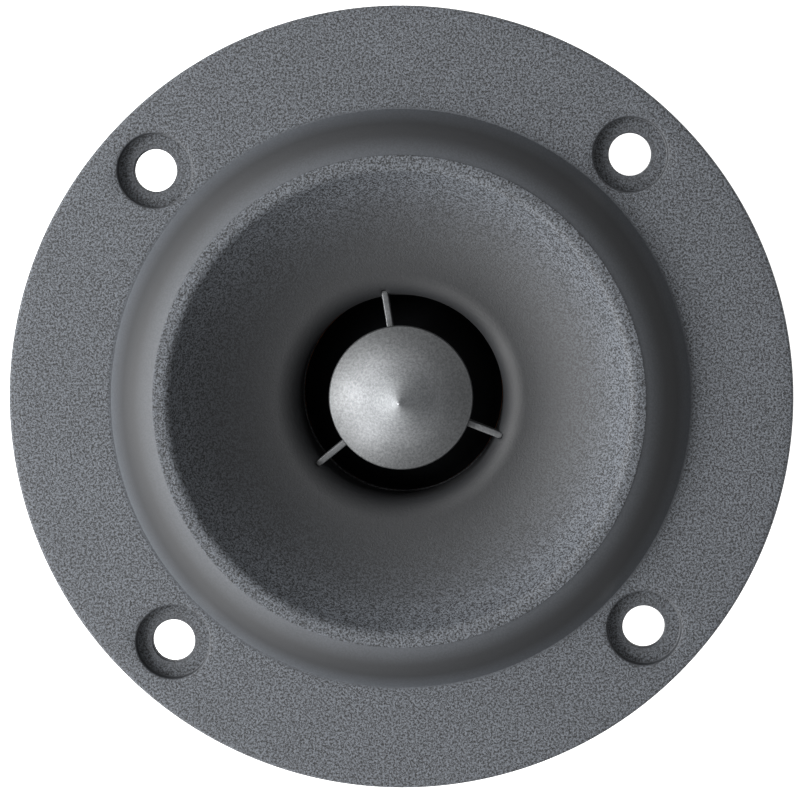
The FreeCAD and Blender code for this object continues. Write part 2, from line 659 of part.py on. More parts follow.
def rounded_path(points, radii):
    """Straight runs joined by tangent arcs, one radius for each corner."""
    edges = []
    here = points[0]
    for before, corner, after, radius in zip(points, points[1:], points[2:], radii):
        incoming = (corner - before).normalize()
        outgoing = (after - corner).normalize()
        turn = incoming.getAngle(outgoing)
        setback = radius * math.tan(turn / 2)
        arc_start = corner - incoming * setback
        arc_end = corner + outgoing * setback
        inward = (outgoing - incoming).normalize()
        middle = corner + inward * (radius / math.cos(turn / 2) - radius)
        edges.append(Part.LineSegment(here, arc_start).toShape())
        edges.append(Part.Arc(arc_start, middle, arc_end).toShape())
        here = arc_end
    edges.append(Part.LineSegment(here, points[-1]).toShape())
    return Part.Wire(edges)


def hookup_wire(place, angle):
    """Insulated wire from the carrier tag, down past the magnet, to the solder tail."""
    tag_height = TAG_SEAT + TAG_THICKNESS + WIRE_RADIUS
    tail_side = SOLDER_TAIL_Y + SOLDER_TAG_THICKNESS + WIRE_RADIUS
    points = [
        polar(WIRE_START_RADIUS, angle, tag_height),
        polar(WIRE_DROP_RADIUS, angle, tag_height),
        polar(WIRE_DROP_RADIUS, angle, WIRE_CROSSING_HEIGHT),
        vec(place.x, tail_side, WIRE_CROSSING_HEIGHT),
        vec(place.x, tail_side, WIRE_END_HEIGHT),
    ]
    path = rounded_path(points, [WIRE_BEND_RADIUS, WIRE_BEND_RADIUS, WIRE_TAIL_BEND_RADIUS])
    direction = (points[1] - points[0]).normalize()
    circle = Part.Wire(Part.makeCircle(WIRE_RADIUS, points[0], direction))
    return path.makePipeShell([circle], True, False)


nodes = {
    "horn_body": horn_body(),
    "phase_plug": phase_plug(),
    "diaphragm_dome": diaphragm_dome(),
    "diaphragm_surround": diaphragm_surround(),
    "voice_coil_former": voice_coil_former(),
    "voice_coil_winding": voice_coil_winding(),
    "diaphragm_carrier": diaphragm_carrier(),
    "carrier_gasket": carrier_gasket(),
    "locating_pins": locating_pins(),
    "top_plate": top_plate(),
    "magnet": magnet(),
    "back_plate": back_plate(),
    "pole_piece": pole_piece(),
    "pole_felt": pole_felt(),
    "rear_cover": rear_cover(),
    "assembly_screws": assembly_screws(),
    "terminal_board": terminal_board(),
    "terminal_board_screws": terminal_board_screws(),
    "post_nuts": post_nuts(),
}
for side, angle in TERMINAL_SIDES.items():
    place = vec(TERMINAL_X if side == "positive" else -TERMINAL_X, 0, 0)
    nodes["carrier_tag_" + side] = carrier_tag(angle)
    nodes["lead_out_" + side] = lead_out(angle)
    nodes["post_" + side] = post(place)
    nodes["plunger_" + side] = plunger(place)
    nodes["push_cap_" + side] = push_cap(place)
    nodes["push_spring_" + side] = push_spring(place)
    nodes["solder_tag_" + side] = solder_tag(place)
    nodes["hookup_wire_" + side] = hookup_wire(place, angle)

for name, shape in nodes.items():
    print(name, shape.ShapeType, len(shape.Solids), shape.isValid(), round(shape.Volume, 2))
    shape.exportStep("parts/" + name + ".step")
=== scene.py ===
import json
import math

import bmesh
import bpy
import numpy as np
from mathutils import Matrix, Vector


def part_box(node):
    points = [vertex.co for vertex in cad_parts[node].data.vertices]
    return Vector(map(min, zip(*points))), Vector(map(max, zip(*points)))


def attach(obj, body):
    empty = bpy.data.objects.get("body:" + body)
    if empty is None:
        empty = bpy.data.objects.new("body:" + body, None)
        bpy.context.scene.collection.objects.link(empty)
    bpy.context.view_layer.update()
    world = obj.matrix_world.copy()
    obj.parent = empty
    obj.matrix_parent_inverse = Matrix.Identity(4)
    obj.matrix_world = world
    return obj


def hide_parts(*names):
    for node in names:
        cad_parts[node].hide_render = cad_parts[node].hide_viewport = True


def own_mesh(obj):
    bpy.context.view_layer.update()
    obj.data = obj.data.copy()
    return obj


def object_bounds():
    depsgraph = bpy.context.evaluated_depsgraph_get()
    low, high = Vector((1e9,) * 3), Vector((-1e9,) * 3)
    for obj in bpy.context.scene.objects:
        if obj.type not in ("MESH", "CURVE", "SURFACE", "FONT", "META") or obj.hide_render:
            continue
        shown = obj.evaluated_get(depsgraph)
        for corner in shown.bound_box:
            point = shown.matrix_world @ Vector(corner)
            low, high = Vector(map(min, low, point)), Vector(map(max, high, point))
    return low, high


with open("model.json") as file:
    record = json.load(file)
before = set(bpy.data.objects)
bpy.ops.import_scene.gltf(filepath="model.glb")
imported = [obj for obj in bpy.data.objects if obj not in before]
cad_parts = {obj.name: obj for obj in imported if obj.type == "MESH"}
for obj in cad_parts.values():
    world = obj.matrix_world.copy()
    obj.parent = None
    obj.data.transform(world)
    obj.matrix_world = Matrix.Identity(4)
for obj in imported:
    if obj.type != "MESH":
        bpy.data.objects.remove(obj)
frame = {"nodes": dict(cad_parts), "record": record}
cad_low, cad_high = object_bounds()

# ---------------------------------------------------------------------------------------------
# Horn body: flange, raised ring, horn flare and skirt, moulded in one piece of black ABS.
# The mould's face is spark-eroded to a fine sand grain; the ring's outer slope and the hole
# walls are left smooth. Four screws through the flange hold it to the panel.
# ---------------------------------------------------------------------------------------------
MM = 0.001
horn_low, horn_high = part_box("horn_body")
mounts = {mount["name"]: mount for mount in frame["record"]["mounts"]}
bolt_circle_radius = mounts["panel_screws"]["dims"]["pcd_mm"] / 2
panel_hole_radius = mounts["panel_screws"]["dims"]["hole_r_mm"]
skirt_radius = mounts["cutout_spigot"]["dims"]["r_mm"]
flange_radius = round(max(horn_high.x, horn_high.y) / MM, 1)
crest_height = horn_high.z / MM
skirt_end = horn_low.z / MM

flange_top = 3.0
flange_edge_radius = 0.4
counterbore_radius = 4.65
counterbore_floor = 1.6
ring_base_radius = 36.2
crest_outer_radius = 30.5
crest_inner_radius = 28.7
flare_foot = (15.6, -0.4)
bowl_radius = 16.9
throat_lip_radius = 2.95
crest_lip_radius = 1.41
ring_bulge_radius = 11.5
throat_radius = 12.9
throat_lip_height = -3.3
rib_angles = (97, 217, 337)
SEGMENTS = 360


def arc(start, end, radius, side, count):
    """Points on a circular arc between two (r, z) points; side +1 bows it to the left of travel.

    The centre lies on the chord's perpendicular bisector, sqrt(radius^2 - (chord/2)^2) away from
    it, and the points are at even angles about the centre.
    """
    start = np.array(start, float)
    end = np.array(end, float)
    chord = end - start
    length = np.hypot(*chord)
    left = np.array([-chord[1], chord[0]]) / length
    centre = (start + end) / 2 - side * left * math.sqrt(radius ** 2 - length ** 2 / 4)
    first = math.atan2(*(start - centre)[::-1])
    sweep = -side * 2 * math.asin(length / 2 / radius)
    angles = first + sweep * np.linspace(0, 1, count)
    return centre + radius * np.stack([np.cos(angles), np.sin(angles)], axis=1)


def turned(profile, segments=SEGMENTS):
    """Surface of revolution: profile point (r, z) at angle t goes to (r cos t, r sin t, z)."""
    profile = np.asarray(profile, float)
    angles = np.linspace(0, 2 * math.pi, segments, endpoint=False)
    rings = np.empty((len(profile), segments, 3))
    rings[:, :, 0] = profile[:, :1] * np.cos(angles)
    rings[:, :, 1] = profile[:, :1] * np.sin(angles)
    rings[:, :, 2] = profile[:, 1:]
    return rings


def grid_faces(rows, columns, close_rows=False, close_columns=True):
    """Quads of a grid of rows x columns vertices, joined round in either direction if asked."""
    row = np.arange(rows if close_rows else rows - 1)[:, None]
    column = np.arange(columns if close_columns else columns - 1)[None, :]
    next_row = (row + 1) % rows
    next_column = (column + 1) % columns
    corners = [row * columns + column, row * columns + next_column,
               next_row * columns + next_column, next_row * columns + column]
    return np.stack([np.broadcast_to(corner, np.broadcast(row, column).shape) for corner in corners], axis=-1)


def solid_piece(name, vertices, faces, body, sharp_degrees=35.0, attributes=None):
    """Mesh object from millimetre vertices: doubles merged, faces outwards, edges sharp past an angle."""
    mesh = bpy.data.meshes.new(name)
    mesh.from_pydata((np.asarray(vertices).reshape(-1, 3) * MM).tolist(), [], np.asarray(faces).tolist())
    for key, values in (attributes or {}).items():
        layer = mesh.attributes.new(key, "FLOAT", "POINT")
        layer.data.foreach_set("value", np.asarray(values, np.float32).ravel())
    work = bmesh.new()
    work.from_mesh(mesh)
    bmesh.ops.remove_doubles(work, verts=work.verts, dist=1e-7)
    bmesh.ops.dissolve_degenerate(work, edges=work.edges, dist=1e-8)
    bmesh.ops.recalc_face_normals(work, faces=work.faces)
    work.to_mesh(mesh)
    work.free()
    mesh.polygons.foreach_set("use_smooth", np.ones(len(mesh.polygons), bool))
    mesh.set_sharp_from_angle(angle=math.radians(sharp_degrees))
    piece = bpy.data.objects.new(name, mesh)
    bpy.context.scene.collection.objects.link(piece)
    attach(piece, body)
    return piece


# Flange rows at these radii are shared by its front and its back, so that a hole can join them.
hole_rows = np.linspace(36.6, 47.1, 11)
skirt_inner_radius = skirt_radius - 2.2
throat_boss_radius = 20.5
horn_profile = [
    (throat_radius, -11.4),
    (throat_radius, -7.5),
    (throat_radius, -4.65),
]
horn_profile += arc((throat_radius, throat_lip_height), flare_foot, throat_lip_radius, 1,
                    12).tolist()
# The bowl stops short of the crest, where a rounded lip takes over.
bowl = arc(flare_foot, (crest_inner_radius, crest_height), bowl_radius, -1, 60)
bowl = bowl[bowl[:, 0] < crest_inner_radius - 0.36]
horn_profile += bowl.tolist()[1:]
horn_profile += arc(bowl[-1], (crest_inner_radius + 0.77, crest_height), crest_lip_radius, 1, 10).tolist()[1:]
horn_profile += [(crest_outer_radius - 0.3, crest_height)]
horn_profile += arc((crest_outer_radius - 0.12, crest_height - 0.01),
                    (crest_outer_radius + 0.12, crest_height - 0.12), 0.3, 1, 4).tolist()
horn_profile += arc((crest_outer_radius + 0.2, crest_height - 0.17), (ring_base_radius, flange_top),
                    ring_bulge_radius, 1, 22).tolist()
flange_front_start = len(horn_profile)
horn_profile += [(radius, flange_top) for radius in hole_rows]
horn_profile += arc((flange_radius - flange_edge_radius, flange_top),
                    (flange_radius, flange_top - flange_edge_radius), flange_edge_radius, 1, 6).tolist()
horn_profile += arc((flange_radius, 0.25), (flange_radius - 0.25, 0.0), 0.25, 1, 4).tolist()
flange_back_start = len(horn_profile)
horn_profile += [(radius, 0.0) for radius in hole_rows[::-1]]
horn_profile[-1] = (hole_rows[0] + 0.9, 0.0)
horn_profile += [
    (skirt_radius, -0.2),
    (skirt_radius, skirt_end + 0.3),
    (skirt_radius - 0.3, skirt_end),
    (skirt_inner_radius, skirt_end),
    (skirt_inner_radius, 1.2),
    (crest_outer_radius - 0.4, crest_height - 2.4),
    (crest_inner_radius, crest_height - 3.0),
    (throat_boss_radius, flare_foot[1] - 2.4),
    (throat_boss_radius, -12.0),
    (15.8, -12.0),
    (15.8, -11.4),
]
horn_profile = np.array(horn_profile)
horn_rings = turned(horn_profile)

# The plug's ribs sit in notches: there the throat wall above the ledge moves out to the notch's depth.
notch_radius = 13.7
notch_ledge = -4.7
for angle in rib_angles:
    columns = np.arange(angle - 1, angle + 2) % SEGMENTS
    in_notch = (horn_profile[:, 0] < notch_radius) & (horn_profile[:, 1] > notch_ledge)
    for row in np.nonzero(in_notch)[0]:
        scale = notch_radius / horn_profile[row, 0]
        horn_rings[row, columns, :2] *= scale

# The grain is full on the flange's front, the crest and the flare, and faint elsewhere. The painted
# shade is how much light tone it carries: it paints the shade of the deep bowl, so the flare darkens
# inwards toward the throat and is lightest just inside the crest, and it paints the ring's slope darker. Both
# follow the radius.
row_radius = horn_profile[:, 0]
row_height = horn_profile[:, 1]
faces_front = np.arange(len(horn_profile)) < flange_back_start
on_flange = faces_front & (row_radius > ring_base_radius + 0.2) & (row_height > flange_top - 0.1)
on_flare = faces_front & (row_radius < crest_outer_radius + 0.05) & (row_radius > throat_radius + 0.05)
flare_grain = np.interp(row_radius, [throat_radius, 20.0, crest_inner_radius], [0.35, 0.7, 1.0])
grain_rows = np.where(on_flange, 1.0, np.where(on_flare, flare_grain, 0.15))
painted_shade_by_radius = [(throat_radius, 0.05), (14.5, 0.05), (15.5, 0.07), (17.0, 0.1), (20.0, 0.2), (23.0, 0.42),
                   (24.5, 0.6), (26.5, 0.95), (28.0, 1.15), (30.5, 0.9), (33.0, 0.15), (34.5, 0.15),
                   (ring_base_radius, 1.0)]
painted_shade_rows = np.interp(row_radius, *np.transpose(painted_shade_by_radius))

horn_faces = grid_faces(len(horn_profile), SEGMENTS, close_rows=True).astype(int)
keep_face = np.ones(horn_faces.shape[:2], bool)
HOLE_HALF_WIDTH = 8
last_row = len(hole_rows) - 1
horn_vertices = [horn_rings.reshape(-1, 3)]
horn_quads = []
horn_grain = [np.repeat(grain_rows, SEGMENTS)]
horn_painted_shade = [np.repeat(painted_shade_rows, SEGMENTS)]
vertex_count = len(horn_profile) * SEGMENTS


def block_edge(rows, first_column, last_column):
    """Grid vertices round the edge of a block, anticlockwise from its inner first corner."""
    columns = np.arange(first_column, last_column + 1)
    inner = rows[0] * SEGMENTS + columns
    far_side = np.array(rows[1:]) * SEGMENTS + last_column
    outer = rows[-1] * SEGMENTS + columns[::-1][1:]
    near_side = np.array(rows[::-1][1:-1]) * SEGMENTS + first_column
    return np.concatenate([inner, far_side, outer, near_side])


# Each hole is a tunnel: rings that blend from the block's edge on the front to a circle, go down
# the counterbore and the hole, and blend out to the same block's edge on the back.
tunnel_rings = [(0.5, None, flange_top), (1.0, counterbore_radius + 0.18, flange_top),
                (1.0, counterbore_radius + 0.05, flange_top - 0.05),
                (1.0, counterbore_radius, flange_top - 0.2),
                (1.0, counterbore_radius - 0.04, counterbore_floor + 0.12),
                (1.0, counterbore_radius - 0.16, counterbore_floor),
                (1.0, (counterbore_radius + panel_hole_radius) / 2, counterbore_floor),
                (1.0, panel_hole_radius + 0.12, counterbore_floor),
                (1.0, panel_hole_radius, counterbore_floor - 0.12),
                (1.0, panel_hole_radius, 0.12), (1.0, panel_hole_radius + 0.12, 0.0), (0.5, None, 0.0)]
tunnel_grain = np.array([1, 1, 0.3, 0.12, 0.12, 1, 1, 0.6, 0.12, 0.12, 0.15, 0.15])
# The hole walls carry less light tone: painted shade down the counterbores and the holes.
tunnel_painted_shade = np.array([1, 0.9, 0.6, 0.4, 0.4, 0.9, 0.9, 0.7, 0.4, 0.6, 1, 1])
front_rows = [flange_front_start + k for k in range(last_row + 1)]
back_rows = [flange_back_start + last_row - k for k in range(last_row + 1)]
for k in range(4):
    middle = 45 + 90 * k
    first, last = middle - HOLE_HALF_WIDTH, middle + HOLE_HALF_WIDTH
    keep_face[front_rows[0]:front_rows[-1], first:last] = False
    keep_face[back_rows[-1]:back_rows[0], first:last] = False
    front_edge = block_edge(front_rows, first, last)
    back_edge = block_edge(back_rows, first, last)
    centre = bolt_circle_radius * np.array([math.cos(math.radians(middle)), math.sin(math.radians(middle))])
    edge_xy = horn_rings.reshape(-1, 3)[front_edge, :2] - centre
    bearing = edge_xy / np.linalg.norm(edge_xy, axis=1, keepdims=True)
    rings = []
    for blend, radius, height in tunnel_rings:
        nearest = counterbore_radius + 0.18 if height > 1 else panel_hole_radius + 0.12
        xy = edge_xy * (1 - blend) + bearing * (nearest if radius is None else radius) * blend
        rings.append(np.column_stack([xy + centre, np.full(len(xy), height)]))
    size = len(front_edge)
    ids = vertex_count + np.arange(len(rings) * size).reshape(len(rings), size)
    ladder = np.vstack([front_edge[None], ids, back_edge[None]])
    around = np.roll(ladder, -1, axis=1)
    horn_quads.append(np.stack([ladder[:-1], around[:-1], around[1:], ladder[1:]], axis=-1).reshape(-1, 4))
    horn_vertices.append(np.concatenate(rings))
    horn_grain.append(np.repeat(tunnel_grain, size))
    horn_painted_shade.append(np.repeat(tunnel_painted_shade, size))
    vertex_count += len(rings) * size
horn_quads.append(horn_faces[keep_face])

horn = solid_piece("horn_shell", np.concatenate(horn_vertices), np.concatenate(horn_quads), "housing",
                   attributes={"grain": np.concatenate(horn_grain), "painted_shade": np.concatenate(horn_painted_shade)})
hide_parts("horn_body")


def srgb(code):
    """Linear RGBA from an sRGB hex code: c gives ((c + 0.055) / 1.055) ^ 2.4, or c / 12.92 if dark."""
    channels = [int(code[k:k + 2], 16) / 255 for k in (0, 2, 4)]
    linear = [c / 12.92 if c <= 0.04045 else ((c + 0.055) / 1.055) ** 2.4 for c in channels]
    return (*linear, 1.0)


def add(material, kind, inputs=None, **settings):
    """Adds a node. Settings are its properties; an input is a value, or a (node, output) pair to link."""
    node = material.node_tree.nodes.new(kind)
    for key, value in settings.items():
        setattr(node, key, value)
    for key, value in (inputs or {}).items():
        if isinstance(value, tuple) and isinstance(value[0], bpy.types.Node):
            material.node_tree.links.new(value[0].outputs[value[1]], node.inputs[key])
        else:
            node.inputs[key].default_value = value
    return node


def new_material(name):
    """Empty node material with its output node; gives (material, output)."""
    material = bpy.data.materials.new(name)
    material.use_nodes = True
    material.node_tree.nodes.clear()
    return material, add(material, "ShaderNodeOutputMaterial")


def finish_with(material, output, inputs):
    """Principled shader with these inputs, joined to the output."""
    shader = add(material, "ShaderNodeBsdfPrincipled", inputs)
    material.node_tree.links.new(shader.outputs["BSDF"], output.inputs["Surface"])
    return shader


def per_mm(size):
    """Noise scale whose features are about this many millimetres across, in metre coordinates."""
    return 1 / (size * MM)


def waves_every(spacing):
    """Wave texture scale for one wave in so many millimetres: the texture is a sine of 20 * scale * place."""
    return 2 * math.pi / 20 / (spacing * MM)


# Spark-eroded ABS: matt black, with a sand grain of bumps about 0.27 mm across whose tops catch the
# light, painted in a lighter tone as a painted highlight, finer grit of 0.15 mm between them, and slow cloudy
# changes of tone from the moulding.
eroded_abs, output = new_material("spark_eroded_black_abs")
place = add(eroded_abs, "ShaderNodeTexCoord")
share = add(eroded_abs, "ShaderNodeAttribute", attribute_name="grain")
painted_shade = add(eroded_abs, "ShaderNodeAttribute", attribute_name="painted_shade")
sand = add(eroded_abs, "ShaderNodeTexNoise", {"Vector": (place, "Object"), "Scale": per_mm(0.27),
                                              "Detail": 2.0, "Roughness": 0.6})
grit = add(eroded_abs, "ShaderNodeTexNoise", {"Vector": (place, "Object"), "Scale": per_mm(0.15),
                                              "Detail": 1.0, "Roughness": 0.5})
cloud = add(eroded_abs, "ShaderNodeTexNoise", {"Vector": (place, "Object"), "Scale": per_mm(9.0),
                                               "Detail": 2.0})
both = add(eroded_abs, "ShaderNodeMix", {"Factor": 0.4, "A": (sand, "Fac"), "B": (grit, "Fac")})
height = add(eroded_abs, "ShaderNodeMath", {0: (both, "Result"), 1: (share, "Fac")}, operation="MULTIPLY")
relief = add(eroded_abs, "ShaderNodeBump", {"Height": (height, "Value"), "Strength": 1.0,
                                            "Distance": 0.12 * MM})
# The grain's tops are painted the light tone, a painted highlight, which the painted shade attribute scales
# down.
peak = add(eroded_abs, "ShaderNodeMapRange", {"Value": (both, "Result"), "From Min": 0.42, "From Max": 0.58})
painted_glint = add(eroded_abs, "ShaderNodeMix", {"Factor": (share, "Fac"), "A": 0.5, "B": (peak, "Result")})
painted_light_share = add(eroded_abs, "ShaderNodeMath", {0: (painted_glint, "Result"), 1: (painted_shade, "Fac")},
                  operation="MULTIPLY")
glint_and_shade_tone = add(eroded_abs, "ShaderNodeMix", {"Factor": (painted_light_share, "Value"), "A": srgb("141517"),
                                            "B": srgb("5a5e64")}, data_type="RGBA")
shade = add(eroded_abs, "ShaderNodeMapRange", {"Value": (cloud, "Fac"), "To Min": 0.9, "To Max": 1.1})
colour = add(eroded_abs, "ShaderNodeVectorMath", {0: (glint_and_shade_tone, "Result"), "Scale": (shade, "Result")},
             operation="SCALE")
gloss = add(eroded_abs, "ShaderNodeMapRange", {"Value": (share, "Fac"), "To Min": 0.6, "To Max": 0.66})
finish_with(eroded_abs, output, {"Base Color": (colour, "Vector"), "Roughness": (gloss, "Result"),
                                 "Normal": (relief, "Normal")})
horn.data.materials.append(eroded_abs)

# ---------------------------------------------------------------------------------------------
# Phase plug: the pointed bullet in the throat, cast in aluminium and bead-blasted, with a thin
# brim. Its three ribs are glued into notches of the throat wall.
# ---------------------------------------------------------------------------------------------
plug_low, plug_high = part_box("phase_plug")
plug_tip = plug_high.z / MM
plug_base = plug_low.z / MM
brim_radius = 9.1
brim_top = -0.8
ogive_foot = (8.98, -0.75)
ogive_radius = 14.0
rib_thickness = 0.8
rib_top = -1.9
rib_bottom = -4.6
rib_end = 13.65

base_sphere = 16.49
base_apex = plug_base + base_sphere - math.sqrt(base_sphere ** 2 - 7.4 ** 2)
plug_profile = arc((0.0, base_apex), (7.4, plug_base), base_sphere, 1, 8).tolist()
plug_profile += [(8.0, -4.2), (brim_radius - 0.5, brim_top - 0.9)]
plug_profile += arc((brim_radius - 0.12, brim_top - 0.6), (brim_radius, brim_top - 0.4), 0.16, -1, 4).tolist()
plug_profile += [(brim_radius, brim_top - 0.2)]
plug_profile += arc(ogive_foot, (0.12, plug_tip - 0.04), ogive_radius, 1, 48).tolist()
plug_profile += [(0.0, plug_tip)]
plug_rings = turned(plug_profile, 160)
plug_vertices = [plug_rings.reshape(-1, 3)]
plug_faces = [grid_faces(len(plug_profile), 160).reshape(-1, 4)]
plug_count = len(plug_profile) * 160


def rounded_bar(start, end, width, low, high, rounding, steps=5):
    """Straight bar along X: a rectangle with rounded top corners, carried from start to end and capped.

    The section runs up one side, round two quarter circles and down the other side.
    """
    half = width / 2
    quarter = np.linspace(0, math.pi / 2, steps)
    right = np.column_stack([half - rounding + rounding * np.cos(quarter),
                             high - rounding + rounding * np.sin(quarter)])
    left = right[::-1] * [-1, 1]
    section = np.vstack([[half, low], right, left, [-half, low]])
    along = np.array([start, start, end - 0.05, end, end])
    shrink = np.array([0.0, 1.0, 1.0, 0.93, 0.0])
    middle = np.array([0.0, (low + high) / 2])
    rings = np.empty((len(along), len(section), 3))
    rings[:, :, 0] = along[:, None]
    rings[:, :, 1:] = middle + (section - middle)[None] * shrink[:, None, None]
    return rings


for angle in rib_angles:
    bar = rounded_bar(6.5, rib_end, rib_thickness, rib_bottom, rib_top, 0.16)
    turn = Matrix.Rotation(math.radians(angle), 3, "Z")
    plug_vertices.append(bar.reshape(-1, 3) @ np.array(turn).T)
    plug_faces.append(grid_faces(*bar.shape[:2]).reshape(-1, 4) + plug_count)
    plug_count += bar.shape[0] * bar.shape[1]
# Painted highlight by radius: the tip is painted bright as a painted highlight, and the sides and the ribs
# are painted darker as painted shade.
plug_vertices = np.concatenate(plug_vertices)
painted_highlight_by_radius = [(0.0, 2.3), (2.0, 1.75), (3.5, 1.3), (5.0, 1.0), (6.5, 0.62), (8.0, 0.42),
                    (brim_radius, 0.36)]
plug_radii = np.hypot(plug_vertices[:, 0], plug_vertices[:, 1])
plug = solid_piece("bullet_plug", plug_vertices, np.concatenate(plug_faces), "housing",
                   attributes={"painted_highlight": np.interp(plug_radii, *np.transpose(painted_highlight_by_radius))})
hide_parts("phase_plug")

# Bead-blasted aluminium: the blast breaks up its reflection, so it reads half as matt grey, with a
# peppered surface of 0.3 mm dimples over one faint, broad swell from the lathe, 5.7 mm wide.
blasted, output = new_material("bead_blasted_aluminium")
place = add(blasted, "ShaderNodeTexCoord")
dimples = add(blasted, "ShaderNodeTexNoise", {"Vector": (place, "Object"), "Scale": per_mm(0.3),
                                              "Detail": 3.0, "Roughness": 0.65})
blotch = add(blasted, "ShaderNodeTexNoise", {"Vector": (place, "Object"), "Scale": per_mm(1.6),
                                             "Detail": 2.0})
rings = add(blasted, "ShaderNodeTexWave", {"Vector": (place, "Object"), "Scale": waves_every(5.655),
                                           "Distortion": 0.6, "Detail": 1.0},
            wave_type="RINGS", rings_direction="Z")
worked = add(blasted, "ShaderNodeMix", {"Factor": 0.12, "A": (dimples, "Fac"), "B": (rings, "Fac")})
relief = add(blasted, "ShaderNodeBump", {"Height": (worked, "Result"), "Strength": 0.6,
                                         "Distance": 0.05 * MM})
tone = add(blasted, "ShaderNodeMapRange", {"Value": (dimples, "Fac"), "From Min": 0.35, "From Max": 0.65})
grey = add(blasted, "ShaderNodeMix", {"Factor": (tone, "Result"), "A": srgb("707274"), "B": srgb("8e9092")},
           data_type="RGBA")
# The grey is scaled by the painted highlight attribute: bright at the tip, painted shade on the sides and
# ribs.
painted_highlight_share = add(blasted, "ShaderNodeAttribute", attribute_name="painted_highlight")
highlighted_grey = add(blasted, "ShaderNodeVectorMath", {0: (grey, "Result"), "Scale": (painted_highlight_share, "Fac")},
            operation="SCALE")
gloss = add(blasted, "ShaderNodeMapRange", {"Value": (blotch, "Fac"), "To Min": 0.4, "To Max": 0.5})
finish_with(blasted, output, {"Base Color": (highlighted_grey, "Vector"), "Metallic": 0.4,
                              "Roughness": (gloss, "Result"), "Normal": (relief, "Normal")})
plug.data.materials.append(blasted)


def grained_finish(name, grain_mm, dark, light, rough, relief_mm, stretch=(1, 1, 1), **shader_inputs):
    """Material with one noise pattern of a real size, which mixes two tones and varies roughness and relief.

    The noise's middle band, 0.35 to 0.65, is spread over the two tones and over the roughness
    range. A stretch above 1 along an axis makes the pattern finer that way, as in brushing.
    """
    material, output = new_material(name)
    place = add(material, "ShaderNodeTexCoord")
    drawn = add(material, "ShaderNodeMapping", {"Vector": (place, "Object"), "Scale": stretch})
    pattern = add(material, "ShaderNodeTexNoise", {"Vector": (drawn, "Vector"), "Scale": per_mm(grain_mm),
                                                   "Detail": 3.0, "Roughness": 0.6})
    spread = add(material, "ShaderNodeMapRange", {"Value": (pattern, "Fac"), "From Min": 0.35,
                                                  "From Max": 0.65})
    tones = add(material, "ShaderNodeMix", {"Factor": (spread, "Result"), "A": srgb(dark), "B": srgb(light)},
                data_type="RGBA")
    gloss = add(material, "ShaderNodeMapRange", {"Value": (spread, "Result"), "To Min": rough[0],
                                                 "To Max": rough[1]})
    relief = add(material, "ShaderNodeBump", {"Height": (pattern, "Fac"), "Strength": 0.7,
                                              "Distance": relief_mm * MM})
    finish_with(material, output, {"Base Color": (tones, "Result"), "Roughness": (gloss, "Result"),
                                   "Normal": (relief, "Normal"), **shader_inputs})
    return material


def dress(material, *names):
    """Puts a material on carried-over CAD nodes."""
    for name in names:
        for slot in frame["nodes"][name].material_slots:
            slot.material = material


# ---------------------------------------------------------------------------------------------
# Diaphragm: a dome of aluminium foil, anodised black, glued to the coil former, and a pressed
# cloth surround. Enamelled copper wire is wound on the foil former.
# ---------------------------------------------------------------------------------------------
# Black anodised foil: a dark satin sheen with very fine rolling streaks, 0.15 mm apart.
dress(grained_finish("black_anodised_foil", 0.3, "121315", "1b1c1f", (0.34, 0.46), 0.01, (1, 2, 1),
                     Metallic=0.6), "diaphragm_dome")

# Treated cotton cloth: charcoal threads crossing every 0.6 mm, drawn coarser than the real 0.3 mm so
# that they show, under a dull varnish.
cloth, output = new_material("varnished_cotton_cloth")
place = add(cloth, "ShaderNodeTexCoord")
warp = add(cloth, "ShaderNodeTexWave", {"Vector": (place, "Object"), "Scale": waves_every(0.592)},
           bands_direction="X")
weft = add(cloth, "ShaderNodeTexWave", {"Vector": (place, "Object"), "Scale": waves_every(0.592)},
           bands_direction="Y")
threads = add(cloth, "ShaderNodeMath", {0: (warp, "Fac"), 1: (weft, "Fac")}, operation="MULTIPLY")
# The gaps between the threads are painted in the dark tone as painted shade, and the crossings in the light
# tone.
weave_with_painted_shade = add(cloth, "ShaderNodeMix", {"Factor": (threads, "Value"), "A": srgb("242528"), "B": srgb("48494c")},
            data_type="RGBA")
relief = add(cloth, "ShaderNodeBump", {"Height": (threads, "Value"), "Strength": 0.8, "Distance": 0.05 * MM})
finish_with(cloth, output, {"Base Color": (weave_with_painted_shade, "Result"), "Roughness": 0.7, "Normal": (relief, "Normal")})
dress(cloth, "diaphragm_surround")

# Rolled aluminium foil: bright, with streaks round the former.
dress(grained_finish("rolled_aluminium_foil", 0.6, "b4b5b7", "d2d3d4", (0.22, 0.34), 0.01, (0.4, 0.4, 6),
                     Metallic=1.0), "voice_coil_former")

# Enamelled copper wire: turns 0.4 mm apart up the coil, drawn twice as coarse as real so that they
# show, under a clear amber enamel.
copper, output = new_material("enamelled_copper_winding")
place = add(copper, "ShaderNodeTexCoord")
turns = add(copper, "ShaderNodeTexWave", {"Vector": (place, "Object"), "Scale": waves_every(0.395)},
            bands_direction="Z")
# The dark tone between the turns is painted shade in the grooves, and the bright tone on them a painted
# highlight.
turns_with_painted_shade = add(copper, "ShaderNodeMix", {"Factor": (turns, "Fac"), "A": srgb("7a3414"), "B": srgb("c9763f")},
            data_type="RGBA")
relief = add(copper, "ShaderNodeBump", {"Height": (turns, "Fac"), "Strength": 1.0, "Distance": 0.08 * MM})
finish_with(copper, output, {"Base Color": (turns_with_painted_shade, "Result"), "Metallic": 0.9, "Roughness": 0.3,
                             "Coat Weight": 0.6, "Coat Roughness": 0.15, "Normal": (relief, "Normal")})
dress(copper, "voice_coil_winding")

